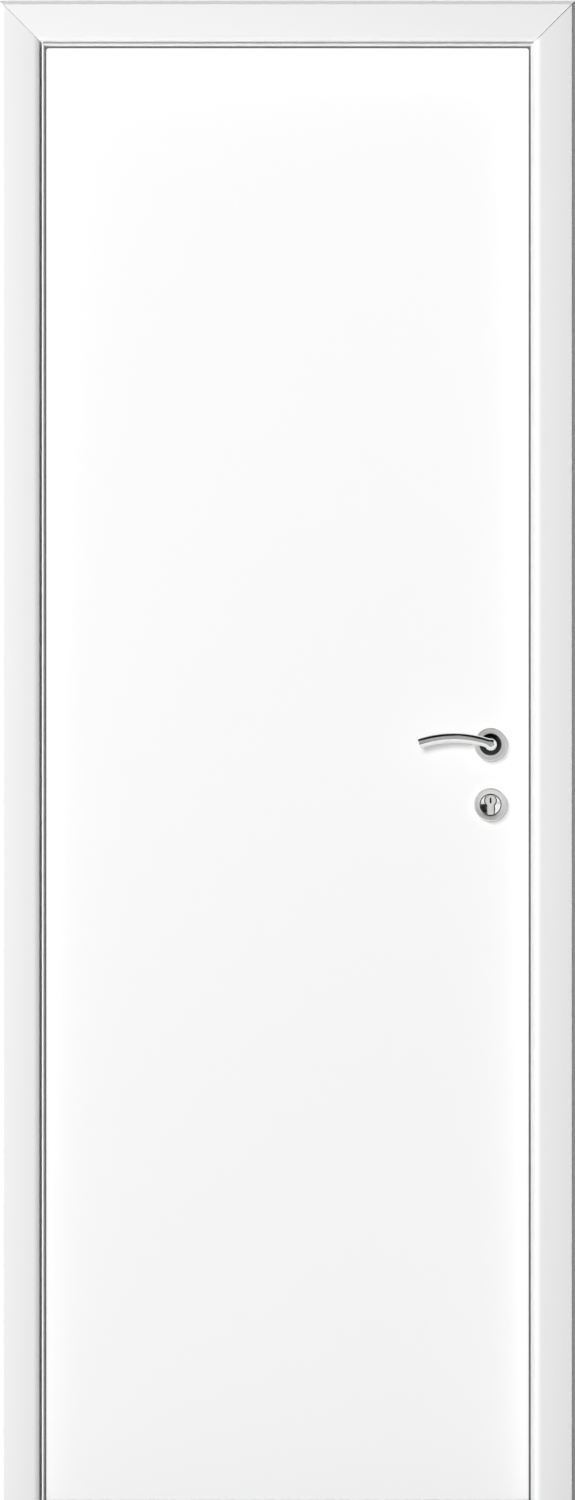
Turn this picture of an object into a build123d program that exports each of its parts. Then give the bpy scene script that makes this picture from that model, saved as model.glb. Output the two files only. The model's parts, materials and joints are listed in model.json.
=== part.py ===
from build123d import *
import os

# White flush door in its lining, seen from the push side. All sizes are in millimetres.
# X runs to the right as that side is seen, Y away from it and Z up from the floor.
# The door is drawn about the middle of its doorway, from the wall's face on the push side.
# At the end it is moved so that the origin lies on the wall face of the hinge jamb, at the
# floor and in the middle of the lining's depth.

# Doorway and lining
clear_width = 703.2
clear_height = 2107.6
lining_depth = 70.0
lining_thickness = 38.4
rebate_width = 13.4
nose_width = 3.0
nose_height = 3.5
nose_round = 1.2
shadow_gap = 3.4
shadow_depth = 4.0

# Architraves, front and back, with a tongue that slides into the lining
architrave_width = 58.0
architrave_thickness = 10.0
bevel_width = 8.5
bevel_drop = 4.0
outer_bevel_width = 5.4
outer_bevel_drop = 6.0
back_reveal = 7.0
tongue_thickness = 4.0
tongue_length = 11.0
tongue_inset = 8.0
tongue_clearance = 0.2

# Rubber gasket between the stop and the leaf
gasket_lip = 2.9
gasket_thickness = 2.7
gasket_cover = 7.0
gasket_corner = 3.5
gasket_round = 0.9
gasket_clearance = 0.3
stem_width = 2.6
stem_length = 5.0
stem_inset = 3.0
stem_clearance = 0.1

# Leaf
leaf_thickness = 40.0
skin_thickness = 3.0
band_thickness = 2.0
band_round = 1.0
hinge_gap = 5.0
lock_gap = 6.5
head_gap = 5.0
floor_gap = 6.0

# Lift-off hinges, whose pins stand behind the leaf
hinge_height = 100.0
hinge_end_distance = 200.0
knuckle_radius = 7.0
knuckle_clearance = 0.5
pin_radius = 4.0
pin_clearance = 0.1
knuckle_cap = 3.0
knuckle_round = 1.5
plate_thickness = 2.5
plate_reach = 32.0
tab_overlap = 16.0
plate_clearance = 0.2

# Mortise lock
backset = 65.0
handle_height = 1098.0
escutcheon_drop = 87.0
forend_width = 20.0
forend_length = 235.0
forend_thickness = 3.0
forend_corner = 4.0
case_height = 165.0
case_thickness = 15.0
case_behind_spindle = 22.0
case_above_spindle = 42.0
case_clearance = 0.4
bolt_thickness = 11.0
bolt_clearance = 0.2
bolt_depth = 28.0
latch_height = 22.0
latch_above_spindle = 6.0
dead_bolt_height = 32.0
dead_bolt_above_key = 14.0
dead_bolt_round = 1.0

# Strike plate, with a pocket in the jamb behind each of its two windows
strike_width = 24.0
strike_length = 190.0
strike_thickness = 2.5
strike_margin = 2.0
pocket_depth = 14.0

# Roses and escutcheons
rose_radius = 24.0
rose_height = 9.0
rose_inner_radius = 15.2
rose_round = 1.5
rose_chamfer = 0.6
insert_clearance = 0.2
insert_recess = 1.5
insert_room = 0.8
collar_dish = 1.6
spindle_hole_radius = 11.0

# Profile cylinder with a turning plug at each end
profile_head_radius = 7.6
profile_leg_width = 9.0
profile_leg_drop = 20.4
profile_leg_round = 2.0
profile_clearance = 0.15
profile_room = 1.0
plug_rise = 6.1
plug_radius = 5.8
plug_clearance = 0.05
plug_length = 22.0
plug_stand = 0.5
cylinder_stand = 0.6
keyway_width = 2.4
keyway_height = 7.8
keyway_depth = 19.0

# Arched lever on a round neck
lever_reach = 106.0
lever_slant = 4.4
grip_middle = 55.0
root_rise = 0.8
middle_rise = 10.0
tip_rise = 1.7
grip_height_root = 14.0
grip_height_middle = 14.2
grip_height_tip = 13.6
neck_radius = 8.6
neck_clearance = 0.1
neck_foot = 1.0
lever_stand = 53.0
grip_depth_root = 12.0
grip_depth_tip = 9.5
web_start = 18.0
web_run = 24.0
blend_radius = 6.0
blend_zone = 14.0
plan_half_depth = 19.0
grip_front_round = 5.0
inlay_width = 4.4
inlay_depth = 1.2
inlay_proud = 0.2
inlay_clearance = 0.05
inlay_tail = 12.0
spindle_side = 8.0
spindle_clearance = 0.05
spindle_bore_radius = 6.0
spindle_end_gap = 1.2
socket_depth = 26.0

# How far a cutting shape reaches past what it cuts, and how near counts as on a plane
overcut = 1.0
on_plane = 0.01

# Places that follow from the sizes above
half_clear = clear_width / 2
reveal = nose_width + shadow_gap
frame_reach = reveal + architrave_width
leaf_front = lining_depth - leaf_thickness
leaf_back = lining_depth
leaf_middle = leaf_front + leaf_thickness / 2
stop_depth = leaf_front - gasket_clearance - gasket_thickness
hinge_edge = -(half_clear + rebate_width - hinge_gap)
lock_edge = half_clear + rebate_width - lock_gap
leaf_bottom = floor_gap
leaf_top = clear_height + rebate_width - head_gap
strike_wall = lock_edge + lock_gap
pin_x = hinge_edge - hinge_gap / 2
pin_y = leaf_back + knuckle_radius + knuckle_clearance
handle_x = lock_edge - backset
key_height = handle_height - escutcheon_drop + plug_rise
forend_middle = handle_height + case_above_spindle - case_height / 2
latch_middle = handle_height + latch_above_spindle
dead_bolt_middle = key_height + dead_bolt_above_key
insert_height = rose_height - insert_recess
insert_radius = rose_inner_radius - insert_clearance
wall_face = half_clear + lining_thickness
hinge_bottoms = [
    leaf_bottom + hinge_end_distance,
    (leaf_bottom + leaf_top - hinge_height) / 2,
    leaf_top - hinge_end_distance - hinge_height,
]


def block(x0, x1, y0, y1, z0, z1):
    """A plain box between two corners."""
    return Pos((x0 + x1) / 2, (y0 + y1) / 2, (z0 + z1) / 2) * Box(
        abs(x1 - x0), abs(y1 - y0), abs(z1 - z0)
    )


def cross_bar(radius, x, y0, y1, z):
    """A round bar along Y."""
    middle = Pos(x, (y0 + y1) / 2, z) * Rot(90, 0, 0)
    return middle * Cylinder(radius, abs(y1 - y0))


def rounded_outline(points, radii):
    """A closed outline, with a radius at each corner named by its place in the list."""
    outline = make_face(Polyline(*points, close=True))
    for index, radius in radii.items():
        corner = Vector(*points[index])
        vertex = min(outline.vertices(), key=lambda v: (Vector(*v.center()) - corner).length)
        outline = fillet(vertex, radius)
    return outline


def upright(section, side):
    """A post of the section beside the doorway, mitred at its head. side is -1 or 1."""
    foot = Pos(half_clear, 0, 0) * section
    post = extrude(foot, amount=clear_height + frame_reach, dir=(0, 0, 1))
    mitre = Plane(origin=(half_clear, 0, clear_height), z_dir=(-1, 0, 1))
    post = split(post, bisect_by=mitre, keep=Keep.BOTTOM)
    return post if side > 0 else mirror(post, about=Plane.YZ)


def lintel(section):
    """A bar of the section over the doorway, mitred at both ends."""
    end = half_clear + frame_reach
    start = Plane(origin=(end, 0, clear_height), x_dir=(0, 0, 1), z_dir=(-1, 0, 0))
    bar = extrude(start * section, amount=2 * end, dir=(-1, 0, 0))
    for side in (-1, 1):
        mitre = Plane(origin=(side * half_clear, 0, clear_height), z_dir=(-side, 0, 1))
        bar = split(bar, bisect_by=mitre, keep=Keep.TOP)
    return bar


def board_section():
    """Lining board, outwards from the rebate's wall, with a tongue slot at each face."""
    front_slot = reveal + tongue_inset - tongue_clearance
    front_slot_end = front_slot + tongue_thickness + 2 * tongue_clearance
    back_slot = rebate_width + back_reveal + tongue_inset - tongue_clearance
    back_slot_end = back_slot + tongue_thickness + 2 * tongue_clearance
    slot_depth = tongue_length + tongue_clearance
    points = [
        (rebate_width, 0),
        (front_slot, 0),
        (front_slot, slot_depth),
        (front_slot_end, slot_depth),
        (front_slot_end, 0),
        (lining_thickness, 0),
        (lining_thickness, lining_depth),
        (back_slot_end, lining_depth),
        (back_slot_end, lining_depth - slot_depth),
        (back_slot, lining_depth - slot_depth),
        (back_slot, lining_depth),
        (rebate_width, lining_depth),
    ]
    return rounded_outline(points, {})


def stop_section():
    """Stop on the board: a rounded nose, the shadow gap and the gasket's slot."""
    stem_slot = stem_inset - stem_clearance
    stem_slot_end = stem_inset + stem_width + stem_clearance
    stem_floor = stop_depth - stem_length - stem_clearance
    points = [
        (0, -nose_height),
        (nose_width, -nose_height),
        (nose_width, shadow_depth),
        (reveal, shadow_depth),
        (reveal, 0),
        (rebate_width, 0),
        (rebate_width, stop_depth),
        (stem_slot_end, stop_depth),
        (stem_slot_end, stem_floor),
        (stem_slot, stem_floor),
        (stem_slot, stop_depth),
        (0, stop_depth),
    ]
    return rounded_outline(points, {0: nose_round, 1: nose_round})


def architrave_section(inner, width):
    """Architrave that lies on Y 0 and faces -Y, bevelled to the doorway and at its outer edge."""
    outer = inner + width
    tongue = inner + tongue_inset
    points = [
        (inner, 0),
        (inner, bevel_drop - architrave_thickness),
        (inner + bevel_width, -architrave_thickness),
        (outer - outer_bevel_width, -architrave_thickness),
        (outer, outer_bevel_drop - architrave_thickness),
        (outer, 0),
        (tongue + tongue_thickness, 0),
        (tongue + tongue_thickness, tongue_length),
        (tongue, tongue_length),
        (tongue, 0),
    ]
    return rounded_outline(points, {})


def back_architrave_section():
    """The narrower architrave on the pull side, which leaves the knuckles free."""
    inner = rebate_width + back_reveal
    section = architrave_section(inner, frame_reach - inner)
    return Pos(0, lining_depth, 0) * mirror(section, about=Plane.XZ)


def frame_trio(section, names):
    """Hinge side, strike side and head of one moulding."""
    parts = [upright(section, -1), upright(section, 1), lintel(section)]
    return dict(zip(names, parts))


def gasket_strip():
    """One strip of gasket: a lip that turns the top corners in a curve, and a stem in its slot."""
    outer = half_clear + gasket_cover
    inner = half_clear - gasket_lip
    top = clear_height + gasket_cover
    lip_top = clear_height - gasket_lip
    cover = block(-outer, outer, stop_depth, stop_depth + gasket_thickness, 0, top)
    hole = block(-inner, inner, stop_depth - overcut, leaf_front, -overcut, lip_top)
    corners = [e for e in hole.edges().filter_by(Axis.Y) if e.center().Z > 0]
    strip = cover - fillet(corners, gasket_corner)
    front = strip.edges().filter_by_position(Axis.Y, stop_depth - on_plane, stop_depth + on_plane)
    lip = [
        e for e in front
        if abs(e.center().X) < inner + on_plane and on_plane < e.center().Z < lip_top + on_plane
    ]
    strip = fillet(lip, gasket_round)
    stem_floor = stop_depth - stem_length
    stem_end = stem_inset + stem_width
    stem_points = [
        (stem_inset, stem_floor),
        (stem_end, stem_floor),
        (stem_end, stop_depth),
        (stem_inset, stop_depth),
    ]
    stem = make_face(Polyline(*stem_points, close=True))
    return strip + upright(stem, -1) + upright(stem, 1) + lintel(stem)


def hinge_plate(side, bottom):
    """Plate of one hinge half. side is 1 for the leaf's plate and -1 for the jamb's."""
    near = pin_x + side * hinge_gap / 2
    far = near + side * plate_thickness
    plate_front = leaf_back - plate_reach
    return block(near, far, plate_front, leaf_back - knuckle_clearance, bottom, bottom + hinge_height)


def plate_pocket(side, bottom):
    """Room for a hinge plate in the leaf's edge or in the jamb."""
    near = pin_x
    far = pin_x + side * (hinge_gap / 2 + plate_thickness)
    front = leaf_back - plate_reach - plate_clearance
    low = bottom - plate_clearance
    high = bottom + hinge_height + plate_clearance
    return block(near, far, front, leaf_back + overcut, low, high)


def hinge_tab(side, low, high):
    """The part of a plate that reaches back to the knuckle."""
    near = pin_x + side * hinge_gap / 2
    far = near + side * plate_thickness
    return block(near, far, leaf_back - tab_overlap, pin_y, low, high)


def hinge_frame_half(bottom):
    """Lower knuckle with its fixed pin, on the jamb's plate."""
    top = bottom + hinge_height / 2 - knuckle_clearance / 2
    pin_top = bottom + hinge_height - knuckle_cap - knuckle_clearance
    knuckle = Pos(pin_x, pin_y, (bottom + top) / 2) * Cylinder(knuckle_radius, top - bottom)
    pin = Pos(pin_x, pin_y, (bottom + pin_top) / 2) * Cylinder(pin_radius, pin_top - bottom)
    return hinge_plate(-1, bottom) + hinge_tab(-1, bottom, top) + knuckle + pin


def hinge_leaf_half(bottom):
    """Upper knuckle with a blind bore that drops over the pin, on the leaf's plate."""
    low = bottom + hinge_height / 2 + knuckle_clearance / 2
    top = bottom + hinge_height
    bore_top = top - knuckle_cap
    knuckle = Pos(pin_x, pin_y, (low + top) / 2) * Cylinder(knuckle_radius, top - low)
    knuckle = fillet(knuckle.edges().group_by(Axis.Z)[-1], knuckle_round)
    bore_radius = pin_radius + pin_clearance
    bore = Pos(pin_x, pin_y, (low + bore_top) / 2) * Cylinder(bore_radius, bore_top - low)
    return hinge_plate(1, bottom) + hinge_tab(1, low, top) + knuckle - bore


def profile_outline(room):
    """Profile cylinder seen end on, about its plug's axis, grown by room on every side."""
    head = Circle(profile_head_radius + room)
    width = profile_leg_width + 2 * room
    drop = profile_leg_drop + room
    leg = Pos(0, -drop / 2) * Rectangle(width, drop)
    low_corners = leg.vertices().sort_by(Axis.Y)[:2]
    return head + fillet(low_corners, profile_leg_round)


def profile_bar(room, y0, y1):
    """Bar of the cylinder's outline between two depths."""
    face = Plane(origin=(handle_x, y0, key_height), x_dir=(1, 0, 0), z_dir=(0, -1, 0))
    return extrude(face * profile_outline(room), amount=abs(y1 - y0), dir=(0, 1, 0))


def bolt_block(middle, height, room, y_room, x0, x1):
    """Latch or dead bolt, or the room for it."""
    half_thickness = bolt_thickness / 2 + y_room
    half_height = height / 2 + room
    return block(
        x0, x1, leaf_middle - half_thickness, leaf_middle + half_thickness,
        middle - half_height, middle + half_height,
    )


def forend_block(room, x0, x1):
    """Face plate of the lock, or the room for it in the leaf's edge."""
    half_width = forend_width / 2 + room
    half_length = forend_length / 2 + room
    plate = block(
        x0, x1, leaf_middle - half_width, leaf_middle + half_width,
        forend_middle - half_length, forend_middle + half_length,
    )
    return fillet(plate.edges().filter_by(Axis.X), forend_corner + room)


def case_block(room):
    """Lock case behind the face plate, or the room for it."""
    half_thickness = case_thickness / 2 + room
    top = handle_height + case_above_spindle + room
    bottom = handle_height + case_above_spindle - case_height - room
    back = handle_x - case_behind_spindle - room
    front = lock_edge - forend_thickness
    return block(back, front, leaf_middle - half_thickness, leaf_middle + half_thickness, bottom, top)


def lock_parts():
    """Case, face plate, and the latch and dead bolt drawn back flush with it."""
    pocket_back = lock_edge - bolt_depth
    bolts = [(latch_middle, latch_height), (dead_bolt_middle, dead_bolt_height)]
    case = case_block(0)
    forend = forend_block(0, lock_edge - forend_thickness, lock_edge)
    for middle, height in bolts:
        room = bolt_block(
            middle, height, bolt_clearance, bolt_clearance, pocket_back, lock_edge + overcut
        )
        case = case - room
        forend = forend - room
    case = case - cross_bar(spindle_bore_radius, handle_x, leaf_front, leaf_back, handle_height)
    case = case - profile_bar(profile_clearance, leaf_front, leaf_back)
    latch = bolt_block(latch_middle, latch_height, 0, 0, pocket_back, lock_edge)
    dead_bolt = bolt_block(dead_bolt_middle, dead_bolt_height, 0, 0, pocket_back, lock_edge)
    return {
        "lock_case": case,
        "lock_forend": forend,
        "latch_bolt": latch,
        "dead_bolt": fillet(dead_bolt.edges().filter_by(Axis.X), dead_bolt_round),
    }


def leaf_parts():
    """Core, two skins and the bands on both long edges, cut for the lock and the hinges."""
    left = hinge_edge + band_thickness
    right = lock_edge - band_thickness
    skin_back = leaf_back - skin_thickness
    skin_front = leaf_front + skin_thickness
    core = block(left, right, skin_front, skin_back, leaf_bottom, leaf_top)
    front_skin = block(left, right, leaf_front, skin_front, leaf_bottom, leaf_top)
    back_skin = block(left, right, skin_back, leaf_back, leaf_bottom, leaf_top)
    hinge_band = block(hinge_edge, left, leaf_front, leaf_back, leaf_bottom, leaf_top)
    lock_band = block(right, lock_edge, leaf_front, leaf_back, leaf_bottom, leaf_top)
    hinge_band = fillet(hinge_band.edges().filter_by(Axis.Z).group_by(Axis.X)[0], band_round)
    lock_band = fillet(lock_band.edges().filter_by(Axis.Z).group_by(Axis.X)[-1], band_round)
    core = core - case_block(case_clearance)
    forend_room = forend_block(0, lock_edge - forend_thickness, lock_edge + overcut)
    core = core - forend_room
    lock_band = lock_band - forend_room
    for bottom in hinge_bottoms:
        pocket = plate_pocket(1, bottom)
        core = core - pocket
        hinge_band = hinge_band - pocket
        back_skin = back_skin - pocket
    spindle_hole = cross_bar(
        spindle_hole_radius, handle_x, leaf_front - overcut, leaf_back + overcut, handle_height
    )
    key_hole = profile_bar(profile_room, leaf_front - overcut, leaf_back + overcut)
    parts = {
        "leaf_core": core - spindle_hole - key_hole,
        "front_skin": front_skin - spindle_hole - key_hole,
        "back_skin": back_skin - spindle_hole - key_hole,
        "edge_band_hinge_side": hinge_band,
        "edge_band_lock_side": lock_band,
    }
    return parts


def on_front(shape, height):
    """Set a shape drawn about Z, with its foot at 0, on the leaf's front face."""
    place = Plane(origin=(handle_x, leaf_front, height), x_dir=(1, 0, 0), z_dir=(0, -1, 0))
    return place * shape


def on_back(shape):
    """Mirror a shape from the front face to the back face."""
    return mirror(shape, about=Plane(origin=(0, leaf_middle, 0), z_dir=(0, 1, 0)))


def rose_ring():
    """Satin ring that frames the collar or the escutcheon's insert."""
    ring = Cylinder(rose_radius, rose_height, align=(Align.CENTER, Align.CENTER, Align.MIN))
    hole = Cylinder(rose_inner_radius, rose_height, align=(Align.CENTER, Align.CENTER, Align.MIN))
    ring = ring - hole
    rims = ring.edges().group_by(Axis.Z)[-1].sort_by(SortBy.RADIUS)
    ring = fillet(rims[-1], rose_round)
    rims = ring.edges().group_by(Axis.Z)[-1].sort_by(SortBy.RADIUS)
    return chamfer(rims[0], rose_chamfer)


def neck_collar():
    """Polished dished collar in which the lever's neck turns."""
    bore = neck_radius + neck_clearance
    profile = make_face([
        Line((bore, 0), (insert_radius, 0)),
        Line((insert_radius, 0), (insert_radius, insert_height)),
        ThreePointArc(
            (insert_radius, insert_height),
            ((insert_radius + bore) / 2, insert_height - collar_dish),
            (bore, insert_height - collar_dish / 2),
        ),
        Line((bore, insert_height - collar_dish / 2), (bore, 0)),
    ])
    return revolve(Plane.XZ * profile, axis=Axis.Z)


def key_insert():
    """Polished disc with the cylinder's outline cut through it."""
    disc = Cylinder(insert_radius, insert_height, align=(Align.CENTER, Align.CENTER, Align.MIN))
    disc = chamfer(disc.edges().group_by(Axis.Z)[-1], rose_chamfer)
    outline = Pos(0, plug_rise) * profile_outline(insert_room)
    return disc - extrude(outline, amount=insert_height, dir=(0, 0, 1))


def cylinder_body():
    """Profile cylinder through the leaf, bored at each end for a plug."""
    front = leaf_front - rose_height - cylinder_stand
    back = leaf_back + rose_height + cylinder_stand
    body = profile_bar(0, front, back)
    bore = plug_radius + plug_clearance
    for y0, y1 in (
        (front - overcut, front + plug_length),
        (back - plug_length, back + overcut),
    ):
        body = body - cross_bar(bore, handle_x, y0, y1, key_height)
    return body


def front_plug():
    """Plug with its upright keyway, which a key turns."""
    face = leaf_front - rose_height - cylinder_stand - plug_stand
    inner = leaf_front - rose_height - cylinder_stand + plug_length - plug_clearance
    plug = cross_bar(plug_radius, handle_x, face, inner, key_height)
    keyway = block(
        handle_x - keyway_width / 2, handle_x + keyway_width / 2,
        face - overcut, face + keyway_depth,
        key_height - keyway_height / 2, key_height + keyway_height / 2,
    )
    return plug - keyway


def grip_line(offset_root, offset_middle, offset_tip, reach):
    """One arched edge of the lever, from the neck's axis out to the tip."""
    return ThreePointArc(
        (0, root_rise + offset_root),
        (-grip_middle, middle_rise + offset_middle),
        (-reach, tip_rise + offset_tip),
    )


def lever_outline():
    """Lever in front view about the spindle: an arched bar that runs into a round neck."""
    top = grip_line(grip_height_root / 2, grip_height_middle / 2, grip_height_tip / 2, lever_reach)
    bottom = grip_line(
        -grip_height_root / 2, -grip_height_middle / 2, -grip_height_tip / 2,
        lever_reach - lever_slant,
    )
    tip = Line(top @ 1, bottom @ 1)
    root = Line(bottom @ 0, top @ 0)
    outline = make_face([top, tip, bottom, root]) + Circle(neck_radius)
    joins = [v for v in outline.vertices() if -blend_zone < v.X < -on_plane]
    return fillet(joins, blend_radius)


def lever_plan():
    """Lever seen from above: from the neck's axis a sweep leads into the grip."""
    grip_inner = lever_stand - grip_depth_root
    tip_inner = lever_stand - grip_depth_tip
    start = (0, web_start)
    end = (-web_run, grip_inner)
    sweep_in = TangentArc(start, end, tangent=(0, 1))
    past_tip = lever_reach + neck_radius
    edges = [
        sweep_in,
        Line(end, (-past_tip, tip_inner)),
        Line((-past_tip, tip_inner), (-past_tip, lever_stand)),
        Line((-past_tip, lever_stand), (2 * neck_radius, lever_stand)),
        Line((2 * neck_radius, lever_stand), (2 * neck_radius, web_start)),
        Line((2 * neck_radius, web_start), start),
    ]
    return make_face(edges)


def lever_grip():
    """Bar of the lever before the neck is added, drawn about Z with the door's face at 0."""
    front_view = extrude(lever_outline(), amount=lever_stand, dir=(0, 0, 1))
    depth = 2 * plan_half_depth
    plan = Plane(origin=(0, -depth / 2, 0), x_dir=(1, 0, 0), z_dir=(0, -1, 0)) * lever_plan()
    plan_view = extrude(plan, amount=depth, dir=(0, 1, 0))
    grip = front_view & plan_view
    tip = -lever_reach + 2 * lever_slant
    front_rim = [e for e in grip.edges().group_by(Axis.Z)[-1] if e.center().X > tip]
    return fillet(front_rim, grip_front_round)


def inlay_strip(width, low, high):
    """Arched strip along the middle of the grip's face, rounded near the neck and past the tip."""
    half = width / 2
    top = grip_line(half, half, half, lever_reach)
    bottom = grip_line(-half, -half, -half, lever_reach)
    top_tail = Line(top @ 1, top @ 1 + (top % 1) * inlay_tail)
    bottom_tail = Line(bottom @ 1, bottom @ 1 + (bottom % 1) * inlay_tail)
    tip = Line(top_tail @ 1, bottom_tail @ 1)
    root = Line(bottom @ 0, top @ 0)
    outline = make_face([top, top_tail, tip, bottom_tail, bottom, root])
    strip = outline + Pos(0, root_rise) * Circle(half)
    return Pos(0, 0, low) * extrude(strip, amount=high - low, dir=(0, 0, 1))


def front_lever_parts():
    """Front lever and the satin inlay in its face."""
    neck_length = lever_stand - grip_front_round - neck_foot
    neck = Pos(0, 0, neck_foot) * Cylinder(
        neck_radius, neck_length, align=(Align.CENTER, Align.CENTER, Align.MIN)
    )
    lever = lever_grip() + neck
    groove_floor = lever_stand - inlay_depth
    lever = lever - inlay_strip(inlay_width, groove_floor, lever_stand + overcut)
    side = spindle_side + 2 * spindle_clearance
    socket_top = (neck_foot + socket_depth) / 2
    lever = lever - Pos(0, 0, socket_top) * Box(side, side, socket_depth + neck_foot)
    inlay = inlay_strip(
        inlay_width - 2 * inlay_clearance, groove_floor, lever_stand + inlay_proud
    )
    inlay = inlay & extrude(lever_outline(), amount=lever_stand + overcut, dir=(0, 0, 1))
    return on_front(lever, handle_height), on_front(inlay, handle_height)


def handle_parts():
    """Both levers on one square spindle."""
    lever, inlay = front_lever_parts()
    end = neck_foot + socket_depth - spindle_end_gap
    spindle = block(
        handle_x - spindle_side / 2, handle_x + spindle_side / 2,
        leaf_front - end, leaf_back + end,
        handle_height - spindle_side / 2, handle_height + spindle_side / 2,
    )
    return {
        "front_lever": lever,
        "front_lever_inlay": inlay,
        "back_lever": on_back(lever),
        "back_lever_inlay": on_back(inlay),
        "spindle": spindle,
    }


def strike_and_jamb(jamb):
    """Strike plate let into the jamb, with the pocket behind each window."""
    plate_back = strike_wall + strike_thickness
    half_width = strike_width / 2
    half_length = strike_length / 2
    seat = block(
        strike_wall, plate_back, leaf_middle - half_width, leaf_middle + half_width,
        forend_middle - half_length, forend_middle + half_length,
    )
    jamb = jamb - seat
    plate = seat
    for middle, height in ((latch_middle, latch_height), (dead_bolt_middle, dead_bolt_height)):
        window = bolt_block(
            middle, height, strike_margin, strike_margin,
            strike_wall - overcut, plate_back + pocket_depth,
        )
        plate = plate - window
        jamb = jamb - window
    return plate, jamb


def build():
    """Every piece by its name, drawn about the middle of the doorway."""
    parts = {}
    parts.update(frame_trio(board_section(), ["hinge_jamb", "strike_jamb", "head_lining"]))
    parts.update(frame_trio(stop_section(), ["hinge_side_stop", "strike_side_stop", "head_stop"]))
    parts.update(frame_trio(
        architrave_section(reveal, architrave_width),
        ["front_architrave_hinge_side", "front_architrave_strike_side", "front_architrave_head"],
    ))
    parts.update(frame_trio(
        back_architrave_section(),
        ["back_architrave_hinge_side", "back_architrave_strike_side", "back_architrave_head"],
    ))
    parts["gasket"] = gasket_strip()
    plate, jamb = strike_and_jamb(parts["strike_jamb"])
    parts["strike_plate"] = plate
    parts["strike_jamb"] = jamb
    parts.update(leaf_parts())
    parts.update(lock_parts())
    for name, bottom in zip(("lower", "middle", "upper"), hinge_bottoms):
        parts["hinge_jamb"] = parts["hinge_jamb"] - plate_pocket(-1, bottom)
        parts[name + "_hinge_frame_half"] = hinge_frame_half(bottom)
        parts[name + "_hinge_leaf_half"] = hinge_leaf_half(bottom)
    escutcheon_height = handle_height - escutcheon_drop
    fronts = {
        "rose": on_front(rose_ring(), handle_height),
        "collar": on_front(neck_collar(), handle_height),
        "escutcheon": on_front(rose_ring(), escutcheon_height),
        "key_insert": on_front(key_insert(), escutcheon_height),
        "key_plug": front_plug(),
    }
    for name, shape in fronts.items():
        parts["front_" + name] = shape
        parts["back_" + name] = on_back(shape)
    parts["cylinder_body"] = cylinder_body()
    parts.update(handle_parts())
    return parts


os.makedirs("parts", exist_ok=True)
for name, shape in build().items():
    export_step(Pos(wall_face, -lining_depth / 2, 0) * shape, "parts/" + name + ".step")
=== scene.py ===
import json
import logging
import math
from dataclasses import dataclass
from enum import Enum
from typing import Callable, Mapping, Sequence, Union

import bmesh
import bpy
from mathutils import Matrix, Vector

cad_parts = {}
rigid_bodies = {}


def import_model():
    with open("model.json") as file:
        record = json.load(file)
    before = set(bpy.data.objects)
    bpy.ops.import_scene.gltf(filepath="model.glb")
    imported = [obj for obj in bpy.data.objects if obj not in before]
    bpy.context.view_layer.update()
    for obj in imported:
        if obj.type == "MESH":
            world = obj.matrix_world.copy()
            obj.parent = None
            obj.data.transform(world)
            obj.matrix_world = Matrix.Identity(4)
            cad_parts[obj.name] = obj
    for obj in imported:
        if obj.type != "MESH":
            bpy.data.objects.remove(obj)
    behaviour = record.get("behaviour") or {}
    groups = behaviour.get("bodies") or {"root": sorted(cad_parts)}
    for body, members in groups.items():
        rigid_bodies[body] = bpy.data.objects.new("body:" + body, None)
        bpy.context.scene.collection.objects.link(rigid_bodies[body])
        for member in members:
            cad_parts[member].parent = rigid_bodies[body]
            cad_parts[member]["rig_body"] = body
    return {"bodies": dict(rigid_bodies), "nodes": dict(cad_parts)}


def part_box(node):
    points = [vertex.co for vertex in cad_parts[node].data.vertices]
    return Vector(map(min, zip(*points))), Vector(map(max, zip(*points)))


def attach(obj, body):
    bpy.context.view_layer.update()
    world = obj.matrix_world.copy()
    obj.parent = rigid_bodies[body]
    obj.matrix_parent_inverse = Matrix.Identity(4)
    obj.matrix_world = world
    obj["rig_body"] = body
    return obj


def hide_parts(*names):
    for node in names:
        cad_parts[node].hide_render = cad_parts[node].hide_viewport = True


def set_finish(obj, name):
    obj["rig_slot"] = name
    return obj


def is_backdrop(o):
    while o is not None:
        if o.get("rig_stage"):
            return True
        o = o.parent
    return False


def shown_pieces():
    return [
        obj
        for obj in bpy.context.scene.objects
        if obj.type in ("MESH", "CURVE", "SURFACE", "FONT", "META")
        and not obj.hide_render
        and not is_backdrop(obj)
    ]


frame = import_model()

LOG = logging.getLogger("door")
Colour = tuple[float, float, float]
Point = tuple[float, float, float]
Material = bpy.types.Material
Edge = bmesh.types.BMEdge
Mesh = bmesh.types.BMesh
Number = Union["Wire", float]
Pairs = Sequence[tuple[float, float]]
Settings = Mapping[str, object]
Inputs = Mapping[Union[int, str], object]


# Shader maths


class Wire:
    """One output of a material's node tree. Arithmetic on it adds Math nodes."""

    def __init__(self, sheet: "Sheet", socket: bpy.types.NodeSocket) -> None:
        """Keep the output and the sheet that it belongs to."""
        self.sheet = sheet
        self.socket = socket

    def join(self, operation: str, left: Number, right: Number) -> "Wire":
        """Add one Math node.

        Args:
            operation: The Math node's operation.
            left: First value.
            right: Second value.

        Returns:
            The node's result.
        """
        return self.sheet.out("ShaderNodeMath", {"operation": operation}, {0: left, 1: right})

    def __add__(self, other: Number) -> "Wire":
        """Sum."""
        return self.join("ADD", self, other)

    def __radd__(self, other: Number) -> "Wire":
        """Sum with the number first."""
        return self.join("ADD", other, self)

    def __sub__(self, other: Number) -> "Wire":
        """Difference."""
        return self.join("SUBTRACT", self, other)

    def __rsub__(self, other: Number) -> "Wire":
        """Difference with the number first."""
        return self.join("SUBTRACT", other, self)

    def __mul__(self, other: Number) -> "Wire":
        """Product."""
        return self.join("MULTIPLY", self, other)

    def __rmul__(self, other: Number) -> "Wire":
        """Product with the number first."""
        return self.join("MULTIPLY", other, self)

    def __pow__(self, other: Number) -> "Wire":
        """Power."""
        return self.join("POWER", self, other)


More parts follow.
